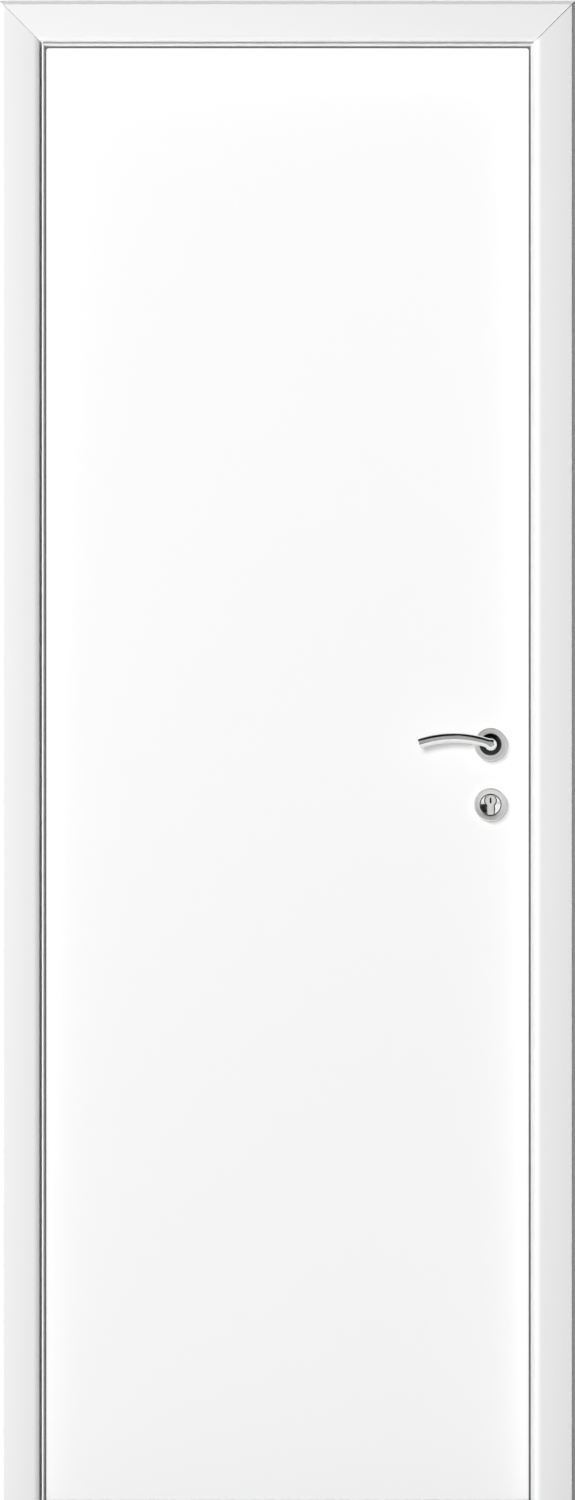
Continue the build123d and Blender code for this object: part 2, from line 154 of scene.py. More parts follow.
class Sheet:
    """The node tree of one material, or of the world."""

    def __init__(self, name: str, world: Union[bpy.types.World, None] = None) -> None:
        """Start an empty sheet.

        Args:
            name: Name of the new material.
            world: The world, if the nodes are to be its own.
        """
        self.owner = world or bpy.data.materials.new(name)
        self.owner.use_nodes = True
        self.tree = self.owner.node_tree
        self.tree.nodes.clear()

    def add(self, kind: str, settings: Settings, sockets: Inputs) -> bpy.types.Node:
        """Add one node: its settings first, then the values or links of its sockets.

        Args:
            kind: The node's type.
            settings: The node's own settings. "stops" holds a ramp's stops.
            sockets: A value or a Wire for each input that differs from its default.

        Returns:
            The node.
        """
        node = self.tree.nodes.new(kind)
        for key, value in settings.items():
            if key == "stops":
                self.set_stops(node.color_ramp, value)
            else:
                setattr(node, key, value)
        for key, value in sockets.items():
            if isinstance(value, Wire):
                self.tree.links.new(value.socket, node.inputs[key])
            else:
                node.inputs[key].default_value = value
        return node

    def set_stops(self, ramp: bpy.types.ColorRamp, stops: Pairs) -> None:
        """Give a ramp its stops.

        Args:
            ramp: The ramp, with its two default stops.
            stops: Place and grey value of each stop, in order.
        """
        while len(ramp.elements) < len(stops):
            ramp.elements.new(1.0)
        for element, (place, grey) in zip(ramp.elements, stops):
            element.position = place
            element.color = (grey, grey, grey, 1.0)

    def out(
        self,
        kind: str,
        settings: Settings,
        sockets: Inputs,
        output: Union[int, str] = 0,
    ) -> Wire:
        """Add one node and take one of its outputs.

        Args:
            kind: The node's type.
            settings: The node's own settings.
            sockets: The node's inputs.
            output: Name or place of the output.

        Returns:
            That output.
        """
        return Wire(self, self.add(kind, settings, sockets).outputs[output])

    def place(self, stretch: Point = (1.0, 1.0, 1.0)) -> Wire:
        """Object coordinates in metres, stretched along the axes.

        Args:
            stretch: Factor along each axis.

        Returns:
            The coordinates.
        """
        point = self.out("ShaderNodeTexCoord", {}, {}, "Object")
        return self.out("ShaderNodeMapping", {}, {"Vector": point, "Scale": stretch})

    def noise(self, place: Wire, size: float, detail: float = 2.0, sharp: float = 0.5) -> Wire:
        """Soft noise.

        Args:
            place: Coordinates.
            size: Width of one patch in metres.
            detail: Octaves of finer noise.
            sharp: Weight of the finer octaves.

        Returns:
            A value around 0.5.
        """
        inputs = {"Vector": place, "Scale": 1.0 / size, "Detail": detail, "Roughness": sharp}
        return self.out("ShaderNodeTexNoise", {}, inputs)

    def rings(self, centre: Vector, size: float) -> Wire:
        """Noise that depends only on the distance from an axis along Y.

        Args:
            centre: A point on the axis.
            size: Width of one ring in metres.

        Returns:
            A value around 0.5.
        """
        split = self.add("ShaderNodeSeparateXYZ", {}, {0: self.place()})
        across = Wire(self, split.outputs[0]) - centre.x
        upward = Wire(self, split.outputs[2]) - centre.z
        reach = (across * across + upward * upward) ** 0.5
        inputs = {"W": reach, "Scale": 1.0 / size, "Detail": 2.0}
        return self.out("ShaderNodeTexNoise", {"noise_dimensions": "1D"}, inputs)

    def cells(self, place: Wire, size: float) -> Wire:
        """Random grey of loose cells.

        Args:
            place: Coordinates.
            size: Width of one cell in metres.

        Returns:
            A random value for each cell.
        """
        inputs = {"Vector": place, "Scale": 1.0 / size}
        colour = self.out("ShaderNodeTexVoronoi", {}, inputs, "Color")
        return self.out("ShaderNodeSeparateColor", {}, {0: colour})

    def ramp(self, value: Wire, stops: Pairs) -> Wire:
        """A grey ramp over a value.

        Args:
            value: What the ramp reads.
            stops: Place and grey value of each stop.

        Returns:
            The ramp's grey.
        """
        return self.out("ShaderNodeValToRGB", {"stops": stops}, {0: value})

    def blend(self, share: Wire, first: Colour, second: Colour) -> Wire:
        """A colour between two others.

        Args:
            share: 0 for the first colour, 1 for the second.
            first: First colour.
            second: Second colour.

        Returns:
            The mixed colour.
        """
        inputs = {0: share, 6: (*first, 1.0), 7: (*second, 1.0)}
        return self.out("ShaderNodeMix", {"data_type": "RGBA"}, inputs, 2)

    def bump(self, height: Wire, depth: float, strength: float) -> Wire:
        """A normal that follows a height.

        Args:
            height: The height, from 0 to 1.
            depth: What a height of 1 measures, in metres.
            strength: How much of it shows.

        Returns:
            The normal.
        """
        inputs = {"Strength": strength, "Distance": depth, "Height": height}
        return self.out("ShaderNodeBump", {}, inputs, "Normal")

    def surface(self, sockets: Inputs) -> Material:
        """Close the material with its shader.

        Args:
            sockets: Inputs of the shader.

        Returns:
            The finished material.
        """
        shader = self.out("ShaderNodeBsdfPrincipled", {}, sockets, "BSDF")
        return self.close(shader)

    def close(self, shader: Wire) -> Material:
        """Lead a shader to the material's output."""
        self.add("ShaderNodeOutputMaterial", {}, {"Surface": shader})
        return self.owner


# Finishes


def shade(colour: Colour, factor: float) -> Colour:
    """The same colour, lighter or darker by a factor."""
    return tuple(min(1.0, part * factor) for part in colour)


class Grain(Enum):
    """Which way a metal was brushed: along an axis, or round one."""

    UPRIGHT = (1.0, 1.0, 0.02)
    ACROSS = (0.02, 1.0, 1.0)
    TURNED = (1.0, 1.0, 1.0)


@dataclass(frozen=True)
class WhiteFilm:
    """Smooth white film or laminate with a faint orange peel."""

    name: str
    colour: Colour
    roughness: float
    drift: float
    cloud_size: float = 0.4
    fleck_size: float = 0.006
    peel_size: float = 0.0016
    peel_height: float = 0.00002

    def make(self) -> Material:
        """Build the material.

        Returns:
            The material.
        """
        sheet = Sheet(self.name)
        place = sheet.place()
        cloud = sheet.noise(place, self.cloud_size, 3.0)
        fleck = sheet.noise(place, self.fleck_size, 4.0, 0.6)
        peel = sheet.noise(place, self.peel_size, 2.0)
        share = sheet.ramp(cloud * 0.7 + fleck * 0.3, [(0.3, 0.0), (0.7, 1.0)])
        return sheet.surface({
            "Base Color": sheet.blend(share, shade(self.colour, 1.0 - self.drift), self.colour),
            "Roughness": self.roughness + (fleck - 0.5) * 0.12,
            "IOR": 1.46,
            "Normal": sheet.bump(peel + cloud * 0.5, self.peel_height, 0.35),
        })


@dataclass(frozen=True)
class ChipCore:
    """Sawn chipboard: flakes in two tones that lie along the board."""

    name: str
    pale: Colour = (0.66, 0.52, 0.34)
    dark: Colour = (0.34, 0.23, 0.13)
    stretch: Point = (0.45, 1.6, 1.0)
    flake_size: float = 0.003
    dust_size: float = 0.0012
    depth: float = 0.0004

    def make(self) -> Material:
        """Build the material.

        Returns:
            The material.
        """
        sheet = Sheet(self.name)
        place = sheet.place(self.stretch)
        flakes = sheet.cells(place, self.flake_size)
        dust = sheet.noise(place, self.dust_size, 4.0, 0.7)
        tone = sheet.ramp(flakes * 0.6 + dust * 0.4, [(0.2, 0.0), (0.5, 0.6), (0.85, 1.0)])
        return sheet.surface({
            "Base Color": sheet.blend(tone, self.dark, self.pale),
            "Roughness": 0.78 + (dust - 0.5) * 0.2,
            "Normal": sheet.bump(tone, self.depth, 0.7),
        })


@dataclass(frozen=True)
class DullBlack:
    """Rubber or a shaded cavity: fine upright run marks and a dusty bloom."""

    name: str
    colour: Colour = (0.118, 0.12, 0.123)
    along: Point = (1.0, 1.0, 0.03)
    bloom_size: float = 0.03
    mark_size: float = 0.0006
    mark_depth: float = 0.00003

    def make(self) -> Material:
        """Build the material.

        Returns:
            The material.
        """
        sheet = Sheet(self.name)
        bloom = sheet.noise(sheet.place(), self.bloom_size, 4.0, 0.6)
        marks = sheet.noise(sheet.place(self.along), self.mark_size, 2.0)
        share = sheet.ramp(bloom, [(0.3, 0.0), (0.75, 1.0)])
        return sheet.surface({
            "Base Color": sheet.blend(share, shade(self.colour, 0.86), shade(self.colour, 1.08)),
            "Roughness": 0.62 + (bloom - 0.5) * 0.2,
            "Normal": sheet.bump(marks, self.mark_depth, 0.5),
        })


@dataclass(frozen=True)
class SatinNickel:
    """Brushed nickel, with its brush lines along an axis or round a centre."""

    name: str
    grain: Grain = Grain.UPRIGHT
    centre: Vector = Vector((0.0, 0.0, 0.0))
    colour: Colour = (0.86, 0.855, 0.845)
    roughness: float = 0.4
    line_size: float = 0.00035
    patch_size: float = 0.009
    straight_depth: float = 0.000005
    turned_depth: float = 0.00005

    def make(self) -> Material:
        """Build the material.

        Returns:
            The material.
        """
        sheet = Sheet(self.name)
        if self.grain is Grain.TURNED:
            lines, depth = sheet.rings(self.centre, self.line_size), self.turned_depth
        else:
            place = sheet.place(self.grain.value)
            lines, depth = sheet.noise(place, self.line_size, 3.0), self.straight_depth
        patch = sheet.noise(sheet.place(), self.patch_size, 3.0)
        share = sheet.ramp(lines * 0.6 + patch * 0.4, [(0.3, 0.0), (0.7, 1.0)])
        return sheet.surface({
            "Base Color": sheet.blend(share, shade(self.colour, 0.9), self.colour),
            "Metallic": 1.0,
            "Roughness": self.roughness + (lines - 0.5) * 0.16 + (patch - 0.5) * 0.08,
            "Normal": sheet.bump(lines, depth, 1.0),
        })


@dataclass(frozen=True)
class PolishedMetal:
    """Mirror polish with faint finger haze."""

    name: str
    colour: Colour = (0.88, 0.885, 0.89)
    roughness: float = 0.06
    haze_size: float = 0.012
    wave_size: float = 0.02
    wave_depth: float = 0.00004

    def make(self) -> Material:
        """Build the material.

        Returns:
            The material.
        """
        sheet = Sheet(self.name)
        place = sheet.place()
        smear = sheet.noise(place, self.haze_size, 4.0, 0.6)
        haze = sheet.ramp(smear, [(0.42, 0.0), (0.75, 1.0)])
        wave = sheet.noise(place, self.wave_size, 1.0)
        return sheet.surface({
            "Base Color": sheet.blend(haze, self.colour, shade(self.colour, 0.95)),
            "Metallic": 1.0,
            "Roughness": self.roughness + haze * 0.07,
            "Normal": sheet.bump(wave, self.wave_depth, 0.25),
        })


@dataclass(frozen=True)
class ZincSteel:
    """Zinc plated steel with a faint spangle."""

    name: str
    colour: Colour = (0.58, 0.59, 0.6)
    spangle_size: float = 0.007
    dust_size: float = 0.002
    dust_depth: float = 0.00002

    def make(self) -> Material:
        """Build the material.

        Returns:
            The material.
        """
        sheet = Sheet(self.name)
        place = sheet.place()
        spangle = sheet.cells(place, self.spangle_size)
        dust = sheet.noise(place, self.dust_size, 3.0)
        return sheet.surface({
            "Base Color": sheet.blend(spangle, shade(self.colour, 0.86), self.colour),
            "Metallic": 1.0,
            "Roughness": 0.34 + (spangle - 0.5) * 0.14 + (dust - 0.5) * 0.1,
            "Normal": sheet.bump(dust, self.dust_depth, 0.4),
        })


# Mesh work


def is_corner(edge: Edge, degrees: float = 28.0) -> bool:
    """Whether an edge turns by more than some degrees."""
    return len(edge.link_faces) == 2 and edge.calc_face_angle(0.0) > math.radians(degrees)


def set_down(bm: Mesh, name: str, *finishes: Material) -> bpy.types.Object:
    """Turn a mesh into an object of the scene.

    Args:
        bm: The mesh, which is used up.
        name: Name of the object.
        finishes: Its materials, in the order of the faces' numbers.

    Returns:
        The object.
    """
    mesh = bpy.data.meshes.new(name)
    bm.to_mesh(mesh)
    bm.free()
    for finish in finishes:
        mesh.materials.append(finish)
    piece = bpy.data.objects.new(name, mesh)
    bpy.context.scene.collection.objects.link(piece)
    return piece


@dataclass(frozen=True)
class Bench:
    """Makes finished pieces from copies of the solids and from new meshes."""

    solid_merge: float = 0.000002
    turned_merge: float = 0.000001
    flat_degrees: float = 0.4

    def copy_of(self, node: str) -> Mesh:
        """A merged copy of a solid's mesh.

        Args:
            node: The solid's name.

        Returns:
            The copy, with flat areas joined into single faces.
        """
        bm = bmesh.new()
        bm.from_mesh(frame["nodes"][node].data)
        bmesh.ops.remove_doubles(bm, verts=bm.verts, dist=self.solid_merge)
        flat = math.radians(self.flat_degrees)
        bmesh.ops.dissolve_limit(bm, angle_limit=flat, verts=bm.verts, edges=bm.edges)
        bmesh.ops.recalc_face_normals(bm, faces=bm.faces)
        return bm

    def soften(
        self,
        bm: Mesh,
        width: float,
        chosen: Callable[[Edge], bool],
        segments: int = 2,
    ) -> None:
        """Bevel the chosen corners.

        Args:
            bm: The mesh.
            width: Width of the bevel in metres.
            chosen: Says which corner edges are bevelled.
            segments: Faces across the bevel.
        """
        edges = [e for e in bm.edges if is_corner(e) and chosen(e)]
        bmesh.ops.bevel(
            bm, geom=edges, offset=width, offset_type="OFFSET", segments=segments,
            profile=0.5, affect="EDGES", clamp_overlap=False, material=-1,
        )

    def turn(self, profile: Pairs, steps: int = 96) -> Mesh:
        """Spin a closed profile round Z.

        Args:
            profile: Radius and height of each corner of the section.
            steps: Faces round the piece.

        Returns:
            The turned mesh.
        """
        bm = bmesh.new()
        ring = [bm.verts.new((radius, 0.0, height)) for radius, height in profile]
        edges = [bm.edges.new((a, b)) for a, b in zip(ring, ring[1:] + ring[:1])]
        bmesh.ops.spin(
            bm, geom=ring + edges, cent=(0, 0, 0), axis=(0, 0, 1), angle=math.tau,
            steps=steps, use_merge=True,
        )
        bmesh.ops.remove_doubles(bm, verts=bm.verts, dist=self.turned_merge)
        bmesh.ops.recalc_face_normals(bm, faces=bm.faces)
        return bm

    def publish(
        self,
        bm: Mesh,
        name: str,
        body: str,
        finish: Material,
        slot: str,
        stands_for: Sequence[str] = (),
        weighted: bool = True,
        crease: float = 50.0,
        trim: Sequence[Material] = (),
    ) -> None:
        """Turn a mesh into a finished piece.

        Args:
            bm: The mesh, in the part's own place.
            name: Name of the piece.
            body: The body that it rides on.
            finish: Its material.
            slot: The record's slot that the finish belongs to.
            stands_for: Solids that the piece replaces.
            weighted: Whether large flat faces lead the shading.
            crease: Angle in degrees from which an edge is drawn sharp.
            trim: Materials of the faces that don't have the main one.
        """
        for edge in bm.edges:
            edge.smooth = not is_corner(edge, crease)
        for face in bm.faces:
            face.smooth = True
        piece = set_down(bm, name, finish, *trim)
        if weighted:
            keeper = piece.modifiers.new("weighted", "WEIGHTED_NORMAL")
            keeper.keep_sharp = True
        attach(piece, body)
        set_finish(piece, slot)
        if stands_for:
            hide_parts(*stands_for)
        LOG.info("%s rides on %s, %d faces", name, body, len(piece.data.polygons))

    def ease(
        self,
        node: str,
        ending: str,
        body: str,
        finish: Material,
        slot: str,
        width: float = 0.0,
        chosen: Union[Callable[[Edge], bool], None] = None,
    ) -> None:
        """Publish a copy of a solid, with some of its corners bevelled.

        Args:
            node: The solid's name.
            ending: What the piece's name adds to it.
            body: The body that it rides on.
            finish: Its material.
            slot: The record's slot of that finish.
            width: Width of the bevel in metres.
            chosen: Says which corner edges are bevelled, or None for none.
        """
        bm = self.copy_of(node)
        if chosen:
            self.soften(bm, width, chosen)
        self.publish(bm, node + ending, body, finish, slot, [node])

    def dress(self, node: str, finish: Material) -> None:
        """Give a solid that stays its finish.

        Args:
            node: The solid's name.
            finish: Its material.
        """
        solid = frame["nodes"][node]
        if not solid.material_slots:
            solid.data.materials.append(finish)
        for place in solid.material_slots:
            place.material = finish
        LOG.info("%s keeps its solid, in %s", node, finish.name)


BENCH = Bench()


class Side(Enum):
    """The face of the leaf that a fitting stands on, by the way it looks along Y."""

    FRONT = -1
    BACK = 1

    @property
    def word(self) -> str:
        """The side's name in the names of the pieces."""
        return self.name.lower()


@dataclass(frozen=True)
class FacePlace:
    """A place on the leaf's front or back face, for a piece that is drawn about Z."""

    side: Side
    x: float
    z: float
    front: float = -0.005
    back: float = 0.035

    def matrix(self) -> Matrix:
        """The move from the drawing to the door.

        Returns:
            A matrix that turns +Z to the side's outward direction.
        """
        turn = Matrix.Rotation(math.radians(-90.0 * self.side.value), 4, "X")
        return Matrix.Translation((self.x, self.level(), self.z)) @ turn

    def level(self) -> float:
        """Where the leaf's face lies along Y."""
        return self.front if self.side is Side.FRONT else self.back


# Sub-assemblies


@dataclass(frozen=True)
class Screws:
    """Countersunk wood screws, all from one drawing.

    The cross recess ends just above the plate, so that the plate's face doesn't fill it. Its
    floor and walls are painted near-black, a painted shade in the recess.
    """

    shade: Material
    head_radius: float = 0.0037
    head_rise: float = 0.00022
    rim: float = 0.0003
    recess_width: float = 0.0011
    recess_reach: float = 0.0023
    recess_depth: float = 0.00018
    floor_share: float = 0.96
    skirt_drop: float = 0.0012
    skirt_share: float = 0.7
    rim_share: float = 0.98
    top_share: float = 0.9

    def head(self, scale: float) -> Mesh:
        """One screw head about Z, with its face at the head's rise.

        Args:
            scale: Size of the head.

        Returns:
            The mesh.
        """
        bm = bmesh.new()
        bmesh.ops.create_circle(bm, cap_ends=True, radius=self.head_radius, segments=32)
        half = self.recess_width / 2
        for cut in (-self.recess_reach, -half, half, self.recess_reach):
            for normal in (Vector((1, 0, 0)), Vector((0, 1, 0))):
                bmesh.ops.bisect_plane(
                    bm, geom=bm.verts[:] + bm.edges[:] + bm.faces[:],
                    plane_co=normal * cut, plane_no=normal,
                )
        cross = [f for f in bm.faces if self.in_recess(f.calc_center_median())]
        sunk = bmesh.ops.extrude_face_region(bm, geom=cross)
        floor = [v for v in sunk["geom"] if isinstance(v, bmesh.types.BMVert)]
        bmesh.ops.delete(bm, geom=cross, context="FACES")
        bmesh.ops.scale(bm, vec=(self.floor_share, self.floor_share, 1.0), verts=floor)
        bmesh.ops.translate(bm, vec=(0, 0, -self.recess_depth), verts=floor)
        skirt_edges = [e for e in bm.edges if e.is_boundary]
        skirt = bmesh.ops.extrude_edge_only(bm, edges=skirt_edges)
        low = [v for v in skirt["geom"] if isinstance(v, bmesh.types.BMVert)]
        bmesh.ops.translate(bm, vec=(0, 0, -self.head_rise - self.skirt_drop), verts=low)
        bmesh.ops.scale(bm, vec=(self.skirt_share, self.skirt_share, 1.0), verts=low)
        bmesh.ops.recalc_face_normals(bm, faces=bm.faces)
        bmesh.ops.translate(bm, vec=(0, 0, self.head_rise), verts=bm.verts)
        rim = [e for e in bm.edges if self.on_rim(e)]
        bmesh.ops.bevel(
            bm, geom=rim, offset=self.rim, offset_type="OFFSET", segments=3, profile=0.5,
            affect="EDGES", clamp_overlap=False, material=-1,
        )
        # Faces in the cross below the head's face take the shade material: near-black painted
        # shade in the recess.
        for face in bm.faces:
            middle = face.calc_center_median()
            sunk_in = middle.z < self.head_rise * self.top_share
            face.material_index = int(sunk_in and self.in_recess(middle))
        bmesh.ops.scale(bm, vec=(scale, scale, scale), verts=bm.verts)
        return bm

    def in_recess(self, point: Vector) -> bool:
        """Whether a point of the face lies in the cross."""
        near, far = sorted((abs(point.x), abs(point.y)))
        return near < self.recess_width / 2 and far < self.recess_reach

    def on_rim(self, edge: Edge) -> bool:
        """Whether an edge is on the head's outer rim."""
        return all(
            v.co.xy.length > self.head_radius * self.rim_share and v.co.z > 0.0
            for v in edge.verts
        )

    def place(
        self,
        name: str,
        body: str,
        finish: Material,
        slot: str,
        spots: Sequence[tuple[Vector, Vector, float]],
        scale: float = 1.0,
    ) -> None:
        """Set a group of heads on a plate, as one piece.

        Args:
            name: Name of the piece.
            body: The body that it rides on.
            finish: Its material.
            slot: The record's slot of that finish.
            spots: For each screw its place, its outward direction and its turn in degrees.
            scale: Size of the heads.
        """
        group = bmesh.new()
        prototype = bpy.data.meshes.new(name + "_one")
        one = self.head(scale)
        one.to_mesh(prototype)
        one.free()
        for point, outward, turn in spots:
            start = len(group.verts)
            group.from_mesh(prototype)
            group.verts.ensure_lookup_table()
            facing = outward.to_track_quat("Z", "Y").to_matrix().to_4x4()
            spin = Matrix.Rotation(math.radians(turn), 4, "Z")
            bmesh.ops.transform(
                group, matrix=Matrix.Translation(point) @ facing @ spin,
                verts=group.verts[start:],
            )
        bpy.data.meshes.remove(prototype)
        BENCH.publish(group, name, body, finish, slot, trim=[self.shade])


@dataclass(frozen=True)
class Lining:
    """Both jambs, the head, the stops, the architraves and the gasket."""

    finish: Material
    rubber: Material
    edge_width: float = 0.0005
    hinge_joint: float = 0.0003
    strike_joint: float = 0.0006
    doorway_middle: float = 0.39
    wall_front: float = -0.035
    wall_back: float = 0.035
    margin: float = 0.0001
    board_edge: float = 0.05
    moulding_edge: float = 0.5
    mitre_slack: float = 0.02

    def build(self) -> None:
        """Make every fixed white piece and dress the gasket."""
        for node in ("hinge_jamb", "strike_jamb", "head_lining"):
            BENCH.ease(
                node, "_board", "frame", self.finish, "frame_white",
                self.edge_width, self.is_board_edge,
            )
        for node in ("hinge_side_stop", "strike_side_stop", "head_stop"):
            BENCH.ease(node, "_moulding", "frame", self.finish, "frame_white")
        for place in ("hinge_side", "strike_side", "head"):
            self.architrave("front_architrave_" + place, Side.FRONT)
            self.architrave("back_architrave_" + place, Side.BACK)
        BENCH.dress("gasket", self.rubber)

    def architrave(self, node: str, side: Side) -> None:
        """One architrave, with soft arrises and a fine open joint at each mitre.

        Args:
            node: The solid's name.
            side: The side of the wall that it covers.
        """
        wall = self.wall_front if side is Side.FRONT else self.wall_back
        bm = BENCH.copy_of(node)
        self.open_mitres(bm, node.endswith("head"), wall, side)
        BENCH.soften(
            bm, self.edge_width,
            lambda e: e.calc_length() > self.moulding_edge
            and all(self.is_proud(v, wall, side) for v in e.verts),
        )
        BENCH.publish(bm, node + "_moulding", "frame", self.finish, "frame_white", [node])

    def is_proud(self, vert: bmesh.types.BMVert, wall: float, side: Side) -> bool:
        """Whether a point of a moulding stands off the wall's face at Y wall."""
        return (vert.co.y - wall) * side.value > self.margin

    def open_mitres(self, bm: Mesh, level: bool, wall: float, side: Side) -> None:
        """Cut the face of a moulding a little short at its mitres, which leaves a dark joint.

        Args:
            bm: The moulding.
            level: Whether it is the one over the doorway.
            wall: Where the wall's face lies along Y.
            side: The side of the wall.
        """
        middle = self.doorway_middle
        for face in bm.faces:
            leans = abs(abs(face.normal.x) - abs(face.normal.z)) < self.mitre_slack
            if not leans or abs(face.normal.y) > self.mitre_slack:
                continue
            right = face.calc_center_median().x > middle
            gap = self.strike_joint if right else self.hinge_joint
            inward = Vector((-gap if right else gap, 0, 0)) if level else Vector((0, 0, -gap))
            proud = [v for v in face.verts if self.is_proud(v, wall, side)]
            bmesh.ops.translate(bm, vec=inward, verts=proud)

    def is_board_edge(self, edge: Edge) -> bool:
        """Whether an edge is long and lies in one of a board's two outer faces."""
        return edge.calc_length() > self.board_edge and all(
            min(abs(v.co.y - self.wall_front), abs(v.co.y - self.wall_back)) < self.margin
            for v in edge.verts
        )


@dataclass(frozen=True)
class Leaf:
    """The leaf's core, skins and edge bands."""

    laminate: Material
    banding: Material
    core: Material
    arris: float = 0.0004
    long_edge: float = 0.3

    def build(self) -> None:
        """Make the skins with eased arrises and the bands, and dress the core."""
        for node in ("front_skin", "back_skin"):
            BENCH.ease(
                node, "_sheet", "leaf", self.laminate, "leaf_white", self.arris, self.is_long
            )
        for node in ("edge_band_hinge_side", "edge_band_lock_side"):
            BENCH.ease(node, "_strip", "leaf", self.banding, "edge_white")
        BENCH.dress("leaf_core", self.core)

    def is_long(self, edge: Edge) -> bool:
        """Whether an edge of a skin runs along the leaf."""
        return edge.calc_length() > self.long_edge


@dataclass(frozen=True)
class Hinges:
    """Three lift-off hinges with their screws."""

    finish: Material
    screws: Screws
    leaf_face: float = 0.030
    jamb_face: float = 0.025
    heights: tuple[float, float, float] = (0.206, 1.011, 1.816)
    rows: Pairs = ((0.010, 0.014), (0.022, 0.036), (0.010, 0.086))
    first_turn: float = 17.0
    turn_by_height: float = 900.0
    edge: float = 0.0005
    long_edge: float = 0.02
    knuckle_front: float = 0.036

    def build(self) -> None:
        """Make both halves of each hinge and screw them on."""
        for word, bottom in zip(("lower", "middle", "upper"), self.heights):
            for half, body, face, outward in (
                ("leaf", "leaf", self.leaf_face, -1.0),
                ("frame", "frame", self.jamb_face, 1.0),
            ):
                node = f"{word}_hinge_{half}_half"
                BENCH.ease(
                    node, "_plate", body, self.finish, "satin_nickel", self.edge, self.is_outer
                )
                spots = [
                    (
                        Vector((face, y, bottom + z)), Vector((outward, 0, 0)),
                        self.first_turn + self.turn_by_height * z,
                    )
                    for y, z in self.rows
                ]
                self.screws.place(
                    f"{word}_hinge_{half}_screws", body, self.finish, "satin_nickel", spots
                )

    def is_outer(self, edge: Edge) -> bool:
        """Whether an edge is long enough, or round enough, to be eased."""
        return edge.calc_length() > self.long_edge or edge.verts[0].co.y > self.knuckle_front


@dataclass(frozen=True)
class Lock:
    """Face plate, bolts and strike plate, with the case behind them."""

    satin: Material
    bright: Material
    steel: Material
    screws: Screws
    leaf_edge: float = 0.7485
    strike_face: float = 0.755
    middle: float = 0.015
    edge: float = 0.0003
    forend_screws: Pairs = ((0.9495, 30.0), (1.1655, 75.0))
    cylinder_screw: Pairs = ((1.0015, 12.0),)
    strike_screws: Pairs = ((0.974, 50.0), (1.071, 5.0), (1.141, 82.0))

    def build(self) -> None:
        """Make plates and bolts with eased edges, dress case and spindle, and add the screws."""
        for node, body, finish, slot in (
            ("lock_forend", "leaf", self.satin, "satin_nickel"),
            ("strike_plate", "frame", self.satin, "satin_nickel"),
            ("latch_bolt", "leaf", self.bright, "bright_chrome"),
            ("dead_bolt", "leaf", self.satin, "satin_nickel"),
        ):
            BENCH.ease(node, "_eased", body, finish, slot, self.edge, lambda edge: True)
        BENCH.dress("lock_case", self.steel)
        BENCH.dress("spindle", self.steel)
        for name, body, x, outward, rows, scale in (
            ("lock_forend_screws", "leaf", self.leaf_edge, 1.0, self.forend_screws, 0.9),
            ("cylinder_fixing_screw", "leaf", self.leaf_edge, 1.0, self.cylinder_screw, 0.8),
            ("strike_plate_screws", "frame", self.strike_face, -1.0, self.strike_screws, 1.0),
        ):
            spots = [
                (Vector((x, self.middle, z)), Vector((outward, 0, 0)), turn) for z, turn in rows
            ]
            self.screws.place(name, body, self.satin, "satin_nickel", spots, scale)


@dataclass(frozen=True)
class Ring:
    """Turned satin ring: its face falls slightly inwards, and the step round its bore is painted
    near-black, a painted shadow line.
    """

    satin: Material
    dark: Material
    radius: float = 0.024
    height: float = 0.009
    inner: float = 0.0152
    round: float = 0.0015
    dish: float = 0.0006
    lip: float = 0.0008
    round_steps: int = 8
    face_shares: tuple[float, ...] = (0.08, 0.36, 0.68, 1.0)
    fall_power: float = 1.1

    def build(self, place: FacePlace, name: str, node: str) -> None:
        """Make the ring on one face of the leaf.

        Args:
            place: Where it stands.
            name: Name of the piece.
            node: The solid that it replaces.
        """
        bm = BENCH.turn(self.profile())
        # Faces of the step round the bore take the dark material: a painted shadow line where
        # the ring meets what stands in it.
        step = self.inner + self.lip
        for face in bm.faces:
            middle = face.calc_center_median()
            face.material_index = int(middle.xy.length < step and middle.z > 0.0)
        bmesh.ops.transform(bm, matrix=place.matrix(), verts=bm.verts)
        BENCH.publish(
            bm, name, "leaf", self.satin, "satin_nickel", [node], False, trim=[self.dark]
        )

    def profile(self) -> Pairs:
        """The ring's section, as radius and height."""
        shoulder = self.radius - self.round
        points = [(self.inner, 0.0), (self.radius, 0.0)]
        for step in range(self.round_steps + 1):
            angle = math.radians(step * 90.0 / self.round_steps)
            points.append((
                shoulder + self.round * math.cos(angle),
                self.height - self.round + self.round * math.sin(angle),
            ))
        lip_radius = self.inner + self.lip
        for share in self.face_shares:
            points.append((
                shoulder + (lip_radius - shoulder) * share,
                self.height - self.dish * share ** self.fall_power,
            ))
        points.append((self.inner, self.height - self.dish - self.lip))
        return points


@dataclass(frozen=True)
class Collar:
    """Turned dished collar in which the lever's neck turns."""

    bore: float = 0.0087
    radius: float = 0.015
    height: float = 0.0075
    dish: float = 0.0009
    edge: float = 0.0003
    fall_turn: float = 0.72
    steps: int = 10

    def profile(self) -> Pairs:
        """The collar's section, as radius and height."""
        rim = self.radius - self.edge
        points = [(self.bore, 0.0), (self.radius, 0.0), (self.radius, self.height - self.edge)]
        for step in range(self.steps + 1):
            share = step / self.steps
            fall = math.sin(share * math.pi * self.fall_turn) * self.dish
            points.append((rim + (self.bore - rim) * share, self.height - fall))
        return points


@dataclass(frozen=True)
class HandleSet:
    """Rose, collar and lever with its inlay, on one side of the leaf."""

    place: FacePlace
    satin: Material
    inlay: Material
    bright: Material
    dark: Material

    def build(self) -> None:
        """Make the set."""
        word = self.place.side.word
        Ring(self.satin, self.dark).build(self.place, word + "_rose_ring", word + "_rose")
        # The collar is near-black polished metal: a painted dark reflection and shade round the
        # lever's neck.
        collar = BENCH.turn(Collar().profile())
        bmesh.ops.transform(collar, matrix=self.place.matrix(), verts=collar.verts)
        BENCH.publish(
            collar, word + "_neck_collar", "leaf", self.dark, "dark_chrome",
            [word + "_collar"], False,
        )
        BENCH.dress(word + "_lever", self.bright)
        BENCH.dress(word + "_lever_inlay", self.inlay)


